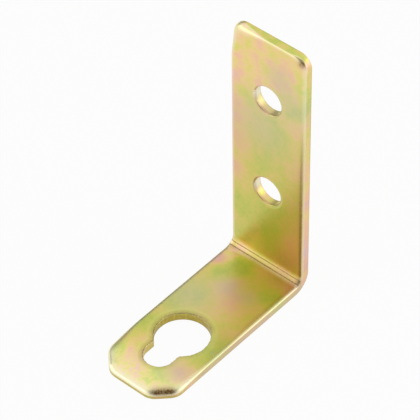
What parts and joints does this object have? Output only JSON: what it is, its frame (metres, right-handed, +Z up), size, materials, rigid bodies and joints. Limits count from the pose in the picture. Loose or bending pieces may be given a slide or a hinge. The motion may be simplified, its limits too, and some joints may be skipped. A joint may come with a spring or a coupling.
{
  "type": "cabinet bracket",
  "caption": "Right-angle cabinet bracket folded from steel strip, with round screw holes in the upright and a keyhole in the foot that hangs over a screw head.",
  "frame": {"origin": "under the middle of the whole bracket, level with the underside of the foot", "axes": "+X from the upright to the free end of the foot, +Y across the strip, +Z up along the upright"},
  "size_m": [0.0426, 0.018, 0.06],
  "materials": {
    "plated_steel": "yellow chromated zinc plating on steel, satin, with faint green and pink tints"
  },
  "bodies": {
    "root": {"bracket": "plated_steel"}
  },
  "joints": []
}
